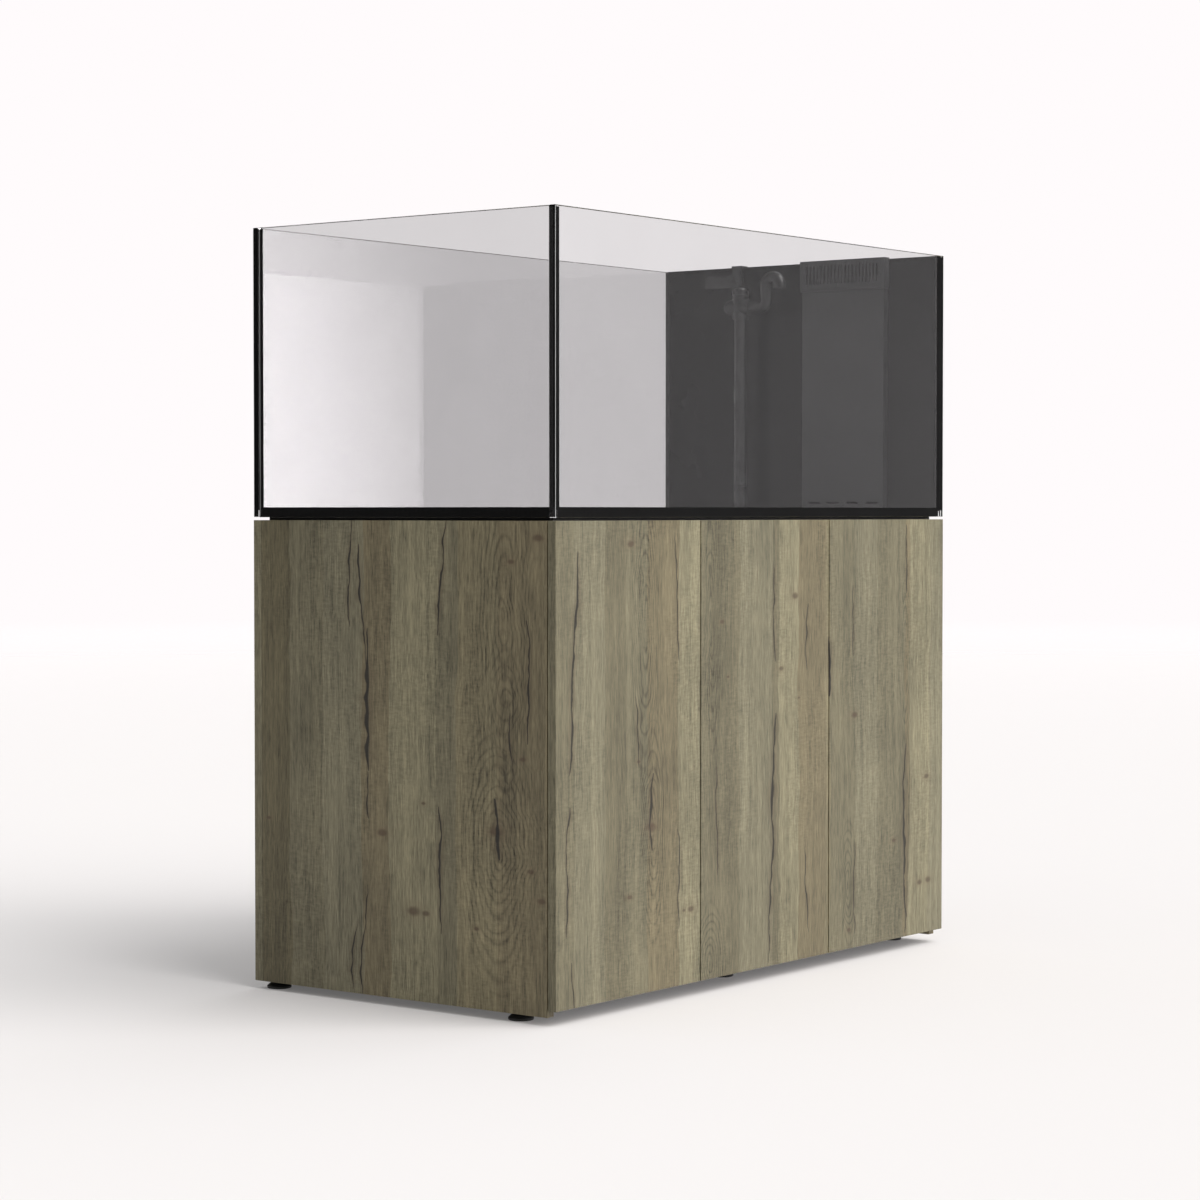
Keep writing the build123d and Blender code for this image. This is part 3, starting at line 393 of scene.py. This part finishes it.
def grainGroup():
    # straight oak grain: fibres, pores, cross ripple and slow drift of tone
    tree, ins, out = newGroup("oakGrain", [("Place", "NodeSocketVector", None)],
                              [("Tone", "NodeSocketFloat"), ("Pores", "NodeSocketFloat"),
                               ("Height", "NodeSocketFloat"), ("Wander", "NodeSocketFloat"),
                               ("Ragged", "NodeSocketFloat")])
    place = ins["Place"]
    look = grainLook["wander"]
    wander = noise(tree, stretched(tree, place, look["waves"]), 1.0, 3.0, look["roughness"])
    wander = linearBetween(tree, wander, 0.0, 1.0, -1.0, 1.0)
    ragged = noise(tree, stretched(tree, place, grainLook["ragged"]["waves"]), 1.0, 2.0)
    lean = doMath(tree, "MULTIPLY", wander, grainLook["lean"])
    shift = putNode(tree, "ShaderNodeCombineXYZ", {0: lean}).outputs[0]
    bent = putNode(tree, "ShaderNodeVectorMath", {0: place, 1: shift}, operation="ADD").outputs[0]
    layers, tone = {}, 0.0
    for name, look in grainLook["layers"].items():
        base = place if name == "drift" else bent
        layers[name] = noise(tree, stretched(tree, base, look["waves"]), 1.0, look["detail"],
                             look["roughness"])
        share = linearBetween(tree, layers[name], 0.25, 0.75, -look["tone"], look["tone"])
        tone = doMath(tree, "ADD", tone, share)
    look = grainLook["pores"]
    dashes = noise(tree, stretched(tree, bent, look["waves"]), 1.0, 1.0, 0.5)
    pores = smoothBetween(tree, dashes, *look["range"])
    height = doMath(tree, "SUBTRACT", layers["fibre"], doMath(tree, "MULTIPLY", pores, look["depth"]))
    look = grainLook["ripplePatch"]
    patch = noise(tree, stretched(tree, place, look["waves"]), 1.0, 1.0)
    patch = smoothBetween(tree, patch, *look["range"])
    look = grainLook["ripple"]
    ripple = noise(tree, stretched(tree, bent, look["waves"]), 1.0, 3.0, look["roughness"])
    ripple = doMath(tree, "MULTIPLY", linearBetween(tree, ripple, 0.3, 0.7, -1.0, 1.0), patch)
    tone = doMath(tree, "MULTIPLY_ADD", ripple, look["tone"], tone)
    height = doMath(tree, "MULTIPLY_ADD", ripple, look["height"], height)
    for label, value in (("Tone", tone), ("Pores", pores), ("Height", height),
                         ("Wander", wander), ("Ragged", ragged)):
        tree.links.new(value, out.inputs[label])
    return tree


oakCrack, oakKnot, oakFlame, oakGrain = crackGroup(), knotGroup(), flameGroup(), grainGroup()

oakTones = {
    "pale": (0.20, 0.18, 0.11), "sandy": (0.18, 0.155, 0.09), "light": (0.165, 0.15, 0.095),
    "warm": (0.155, 0.13, 0.075), "brown": (0.145, 0.13, 0.08), "dark": (0.13, 0.115, 0.07),
    "shaded": (0.105, 0.09, 0.05),
}
# places are metres across the board from its left or front edge, and metres above the floor
frontOak = {
    "axis": 0,
    "planks": [  # start, and the tone that follows it
        (0.000, "brown"), (0.046, "light"), (0.128, "dark"), (0.187, "brown"), (0.247, "warm"),
        (0.333, "pale"), (0.400, "brown"), (0.427, "dark"), (0.516, "light"), (0.618, "dark"),
        (0.636, "pale"), (0.702, "warm"), (0.790, "sandy"), (0.803, "brown"), (0.886, "light"),
        (0.962, "brown"), (1.060, "warm"), (1.076, "pale"), (1.150, "light")],
    "cracks": [  # foot across, head across, low, high, half width
        (0.036, 0.057, 0.40, 0.76, 0.0020), (0.028, 0.037, 0.14, 0.35, 0.0014),
        (0.050, 0.040, 0.02, 0.10, 0.0008), (0.224, 0.214, 0.40, 0.52, 0.0009),
        (0.256, 0.261, 0.26, 0.39, 0.0016), (0.334, 0.334, 0.12, 0.29, 0.0011),
        (0.334, 0.326, 0.57, 0.79, 0.0009), (0.622, 0.623, 0.56, 0.74, 0.0010),
        (0.618, 0.624, 0.21, 0.47, 0.0020), (0.605, 0.616, 0.03, 0.23, 0.0013),
        (0.722, 0.727, 0.54, 0.66, 0.0010), (0.733, 0.722, 0.07, 0.25, 0.0010),
        (0.797, 0.797, 0.49, 0.60, 0.0020), (0.877, 0.881, 0.56, 0.69, 0.0009),
        (0.884, 0.893, 0.05, 0.22, 0.0010), (1.056, 1.069, 0.03, 0.39, 0.0020),
        (1.070, 1.068, 0.67, 0.80, 0.0011), (0.447, 0.443, 0.20, 0.39, 0.0009)],
    "knots": [  # across, height, size
        (0.200, 0.770, 0.009), (0.689, 0.674, 0.009), (0.645, 0.547, 0.007),
        (0.888, 0.452, 0.008), (0.481, 0.540, 0.004), (0.462, 0.635, 0.005),
        (0.222, 0.411, 0.004), (0.198, 0.189, 0.005), (0.371, 0.151, 0.008),
        (0.351, 0.151, 0.004), (1.141, 0.322, 0.008), (1.117, 0.122, 0.007),
        (1.148, 0.124, 0.008), (0.702, 0.493, 0.003), (0.869, 0.060, 0.006),
        (1.024, 0.210, 0.007), (0.258, 0.300, 0.010)],
    "flames": [  # across, height, half width, half height, rings
        (0.240, 0.640, 0.040, 0.260, 8.0), (0.262, 0.290, 0.040, 0.200, 8.0),
        (0.430, 0.620, 0.030, 0.240, 7.0), (0.430, 0.050, 0.045, 0.110, 7.0),
        (1.066, 0.560, 0.022, 0.160, 6.0), (0.868, 0.140, 0.030, 0.120, 6.0)],
}
sideOak = {
    "axis": 1,
    "seam": (0.642, 0.0014),  # where the rear board's edge begins
    "planks": [
        (0.000, "warm"), (0.120, "sandy"), (0.205, "brown"), (0.246, "pale"),
        (0.350, "warm"), (0.409, "light"), (0.500, "brown"), (0.575, "shaded")],
    "cracks": [
        (0.439, 0.432, 0.63, 0.81, 0.0011), (0.404, 0.415, 0.56, 0.77, 0.0013),
        (0.405, 0.400, 0.39, 0.63, 0.0026), (0.403, 0.406, 0.31, 0.39, 0.0008),
        (0.414, 0.401, 0.01, 0.20, 0.0011), (0.434, 0.423, 0.02, 0.14, 0.0010),
        (0.244, 0.228, 0.62, 0.81, 0.0013), (0.240, 0.249, 0.13, 0.34, 0.0016),
        (0.058, 0.055, 0.45, 0.65, 0.0013), (0.091, 0.098, 0.42, 0.50, 0.0008),
        (0.122, 0.128, 0.26, 0.36, 0.0028)],
    "knots": [
        (0.367, 0.288, 0.009), (0.300, 0.163, 0.010), (0.272, 0.161, 0.005),
        (0.036, 0.782, 0.010), (0.091, 0.743, 0.006), (0.067, 0.426, 0.006),
        (0.277, 0.343, 0.004), (0.626, 0.298, 0.005), (0.051, 0.246, 0.006),
        (0.028, 0.200, 0.006), (0.164, 0.145, 0.005), (0.124, 0.306, 0.012)],
    "flames": [
        (0.120, 0.270, 0.085, 0.230, 10.0), (0.106, 0.660, 0.060, 0.280, 8.0),
        (0.105, 0.480, 0.045, 0.160, 6.0)],
}


boardLook = {
    "plankWander": 0.016,  # metres that a plank's edge follows the grain
    "plankFray": 0.003,
    "lastPlank": 0.1,  # metres of board past the last plank's start
    "flameTone": -0.34,
    "poreTone": -0.16,
    "stain": (0.48, (0.11, 0.085, 0.05, 1.0)),  # strength and colour
    "ring": (0.22, (0.15, 0.11, 0.065, 1.0)),
    "core": (0.75, (0.075, 0.05, 0.03, 1.0)),
    "split": (0.9, (0.012, 0.011, 0.01, 1.0)),
    "seam": (0.6, (0.03, 0.026, 0.02, 1.0)),
    "roughness": (0.6, 0.42),  # in the pores and on the fibres
    "specular": 0.35,
    "splitDepth": -2.0,
    "bump": (0.0002, 0.5),
}


def plankColor(tree, planks, shifted):
    span = planks[-1][0] + boardLook["lastPlank"]
    ramp = putNode(tree, "ShaderNodeValToRGB", {0: doMath(tree, "DIVIDE", shifted, span)})
    ramp.color_ramp.interpolation = "CONSTANT"
    stops = ramp.color_ramp.elements
    while len(stops) < len(planks):
        stops.new(1.0)
    for stop, (start, tone) in zip(stops, planks):
        stop.position = start / span
        stop.color = (*oakTones[tone], 1.0)
    return ramp.outputs[0]


def oakMaterial(name, board):
    material, tree, shader = newMaterial(name)
    corner = (tankCorner.x, tankCorner.y, 0.0)
    place = putNode(tree, "ShaderNodeVectorMath", {0: objectPlace(tree), 1: corner},
                    operation="SUBTRACT").outputs[0]
    parts = putNode(tree, "ShaderNodeSeparateXYZ", {0: place}).outputs
    grain = useGroup(tree, oakGrain, {"Place": place})
    across = parts[board["axis"]]
    spot = {"Across": across, "Along": parts[2], "Ragged": grain["Ragged"]}
    bentSpot = {**spot, "Wander": grain["Wander"]}
    shifted = doMath(tree, "MULTIPLY_ADD", grain["Wander"], boardLook["plankWander"], across)
    shifted = doMath(tree, "MULTIPLY_ADD", grain["Ragged"], boardLook["plankFray"], shifted)
    shaded = plankColor(tree, board["planks"], shifted)
    flames = [useGroup(tree, oakFlame, {**bentSpot, "Side": side, "Height": height, "Half Width": halfWidth,
                       "Half Height": halfHeight, "Rings": rings})["Lines"]
              for side, height, halfWidth, halfHeight, rings in board["flames"]]
    tone = doMath(tree, "MULTIPLY_ADD", largest(tree, flames), boardLook["flameTone"],
                  doMath(tree, "ADD", grain["Tone"], 1.0))
    tone = doMath(tree, "MULTIPLY_ADD", grain["Pores"], boardLook["poreTone"], tone)
    shaded = scaled(tree, shaded, tone)
    cracks = [useGroup(tree, oakCrack, {**bentSpot, "Foot": foot, "Head": head, "Low": low, "High": high,
                       "Width": width})
              for foot, head, low, high, width in board["cracks"]]
    knots = [useGroup(tree, oakKnot, {**spot, "Side": side, "Height": height, "Size": size})
             for side, height, size in board["knots"]]
    split = largest(tree, [crack["Split"] for crack in cracks])
    layers = [("stain", largest(tree, [crack["Stain"] for crack in cracks])),
              ("ring", largest(tree, [knot["Ring"] for knot in knots])),
              ("core", largest(tree, [knot["Core"] for knot in knots])), ("split", split)]
    if "seam" in board:
        middle, half = board["seam"]
        gap = doMath(tree, "ABSOLUTE", doMath(tree, "SUBTRACT", across, middle))
        layers.append(("seam", smoothBetween(tree, gap, half * 0.5, half * 1.6, 1.0, 0.0)))
    for layer, amount in layers:
        strength, color = boardLook[layer]
        shaded = mixColor(tree, doMath(tree, "MULTIPLY", amount, strength), shaded, color)
    tree.links.new(shaded, shader.inputs["Base Color"])
    tree.links.new(linearBetween(tree, grain["Height"], 0.0, 1.0, *boardLook["roughness"]),
                   shader.inputs["Roughness"])
    shader.inputs["Specular IOR Level"].default_value = boardLook["specular"]
    height = doMath(tree, "MULTIPLY_ADD", split, boardLook["splitDepth"], grain["Height"])
    bumpInto(tree, shader, height, *boardLook["bump"])
    return material


marksLook = {"broad": 6.0, "fine": 900.0, "range": (0.4, 0.7)}  # waves to the metre


def smudgeGroup():
    # faint wiped marks on a smooth surface
    tree, ins, out = newGroup("wipedMarks",
                              [("Place", "NodeSocketVector", None), ("Size", "NodeSocketFloat", 1.0)],
                              [("Marks", "NodeSocketFloat"), ("Grain", "NodeSocketFloat")])
    broad = noise(tree, ins["Place"], doMath(tree, "MULTIPLY", ins["Size"], marksLook["broad"]), 3.0, 0.55)
    fine = noise(tree, ins["Place"], doMath(tree, "MULTIPLY", ins["Size"], marksLook["fine"]), 2.0, 0.6)
    tree.links.new(smoothBetween(tree, broad, *marksLook["range"]), out.inputs["Marks"])
    tree.links.new(fine, out.inputs["Grain"])
    return tree


wipedMarks = smudgeGroup()


glassLook = {
    "index": 1.5,
    "wiped": 0.985,  # share of the tint left under a wiped mark
    "roughness": (0.0, 0.012),  # clean and wiped
    "bump": (0.00002, 0.1),
}


def glassMaterial(name, tint):
    material, tree, shader = newMaterial(name)
    marks = useGroup(tree, wipedMarks, {"Place": objectPlace(tree)})["Marks"]
    shader.inputs["Transmission Weight"].default_value = 1.0
    shader.inputs["IOR"].default_value = glassLook["index"]
    drift = linearBetween(tree, marks, 0.0, 1.0, 1.0, glassLook["wiped"])
    tree.links.new(scaled(tree, tint, drift), shader.inputs["Base Color"])
    roughness = linearBetween(tree, marks, 0.0, 1.0, *glassLook["roughness"])
    tree.links.new(roughness, shader.inputs["Roughness"])
    bumpInto(tree, shader, marks, *glassLook["bump"])
    # light passes straight through on its way to matt surfaces, with only the tint taken out
    clear = putNode(tree, "ShaderNodeBsdfTransparent", {"Color": (*tint, 1.0)})
    path = tree.nodes.new("ShaderNodeLightPath").outputs
    passing = doMath(tree, "MAXIMUM", path["Is Shadow Ray"], path["Is Diffuse Ray"])
    mix = putNode(tree, "ShaderNodeMixShader", {0: passing, 1: shader.outputs[0], 2: clear.outputs[0]})
    tree.links.new(mix.outputs[0], tree.nodes["Material Output"].inputs[0])
    return material


plasticLook = {"marks": 1.6, "finer": -0.04, "coarser": 0.06, "wiped": 0.05, "bumpStrength": 0.4}


def plasticMaterial(name, color, roughness, bump=0.00006, metallic=0.0, wear=0.12, specular=0.5):
    material, tree, shader = newMaterial(name)
    marks = useGroup(tree, wipedMarks, {"Place": objectPlace(tree), "Size": plasticLook["marks"]})
    tone = linearBetween(tree, marks["Marks"], 0.0, 1.0, 1.0 - wear, 1.0 + wear)
    tree.links.new(scaled(tree, color, tone), shader.inputs["Base Color"])
    rough = linearBetween(tree, marks["Grain"], 0.2, 0.8, roughness + plasticLook["finer"],
                          roughness + plasticLook["coarser"])
    rough = doMath(tree, "MULTIPLY_ADD", marks["Marks"], plasticLook["wiped"], rough)
    tree.links.new(rough, shader.inputs["Roughness"])
    shader.inputs["Metallic"].default_value = metallic
    shader.inputs["Specular IOR Level"].default_value = specular
    bumpInto(tree, shader, marks["Grain"], bump, plasticLook["bumpStrength"])
    return material


finishes = {
    "clear_glass": glassMaterial("clearGlass", (0.81, 0.808, 0.812)),
    "black_glass": plasticMaterial("blackGlass", (0.004, 0.004, 0.0038), 0.12, bump=0.00001,
                                   wear=0.05, specular=0.12),
    "silicone": plasticMaterial("blackSilicone", (0.006, 0.006, 0.006), 0.35, bump=0.00004),
    "foam": plasticMaterial("blackFoam", (0.004, 0.004, 0.004), 0.9, bump=0.0003),
    "black_acrylic": plasticMaterial("blackAcrylic", (0.038, 0.038, 0.039), 0.28, bump=0.00002,
                                     wear=0.06),
    "filter_plastic": plasticMaterial("milkyPlastic", (0.72, 0.74, 0.74), 0.45),
    "black_fittings": plasticMaterial("blackFittings", (0.024, 0.024, 0.024), 0.22),
    "grey_pipe": plasticMaterial("greyPipe", (0.12, 0.125, 0.13), 0.38),
    "pump_plastic": plasticMaterial("pumpPlastic", (0.02, 0.02, 0.023), 0.5, bump=0.00015),
    "red_handle": plasticMaterial("redHandle", (0.42, 0.02, 0.015), 0.3),
    "oak_board": oakMaterial("frontOak", frontOak),
    "black_board": plasticMaterial("blackBoard", (0.012, 0.012, 0.012), 0.55, bump=0.00012),
    "nickel_steel": plasticMaterial("nickelSteel", (0.62, 0.6, 0.56), 0.28, bump=0.00002, metallic=1.0,
                                    wear=0.05),
    "latch_plastic": plasticMaterial("latchPlastic", (0.16, 0.16, 0.165), 0.45),
    "foot_plastic": plasticMaterial("footPlastic", (0.010, 0.010, 0.010), 0.42, bump=0.0001),
}
sideFinish = oakMaterial("sideOak", sideOak)
ownFinish = {
    "left_pane": glassMaterial("leftGlass", (0.70, 0.698, 0.702)),
    "rear_pane": glassMaterial("rearGlass", (0.755, 0.753, 0.757)),
    "left_side_panel": sideFinish, "right_side_panel": sideFinish, "partition": sideFinish,
}


def dressNodes():
    slots = {row["node"]: row["material_slot"] for row in frame["record"]["subparts"]}
    for node, piece in frame["nodes"].items():
        material = ownFinish.get(node, finishes[slots[node]])
        piece.data.materials.clear()
        piece.data.materials.append(material)


dressNodes()
print("finishes set")


# painted highlight: fine pale grey rods just inside the glass stand in for the light lines where two ground
# edges of glass meet
cornerHighlightLines = {
    "width": 0.0011,
    "sides": 8,
    "inset": 0.0009,  # from the outside of the glass to the line's middle
    "places": [  # on the right, at the back, and how far off the corner along X and Y
        (0, 0, 0.0, 0.0), (0, 1, 0.0, -0.0145), (0, 1, 0.0, 0.0), (1, 0, -0.0005, 0.0)],
}


def addCornerHighlights(piece, material):
    near, far = (Vector(corner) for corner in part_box("front_pane"))
    rear = Vector(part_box("rear_pane")[1])
    inset = piece["inset"]
    low, high = near.z + inset, far.z - inset
    for index, (right, back, alongX, alongY) in enumerate(piece["places"]):
        x = far.x - inset if right else near.x + inset
        y = rear.y - inset if back else near.y + inset
        bpy.ops.object.select_all(action="DESELECT")
        bpy.ops.mesh.primitive_cylinder_add(
            vertices=piece["sides"], radius=piece["width"] / 2, depth=high - low,
            location=(x + alongX, y + alongY, (low + high) / 2))
        line = bpy.context.object
        bpy.ops.object.transform_apply(location=True, rotation=True, scale=True)
        line.name = "cornerLine%d" % index
        line.data.materials.append(material)
        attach(line, "stand")


# matt grey that paints the highlight along the glass corners
paintedEdgeHighlight = plasticMaterial("paintedEdgeHighlight", (0.42, 0.43, 0.43), 0.35)
addCornerHighlights(cornerHighlightLines, paintedEdgeHighlight)
print("corner lines added")
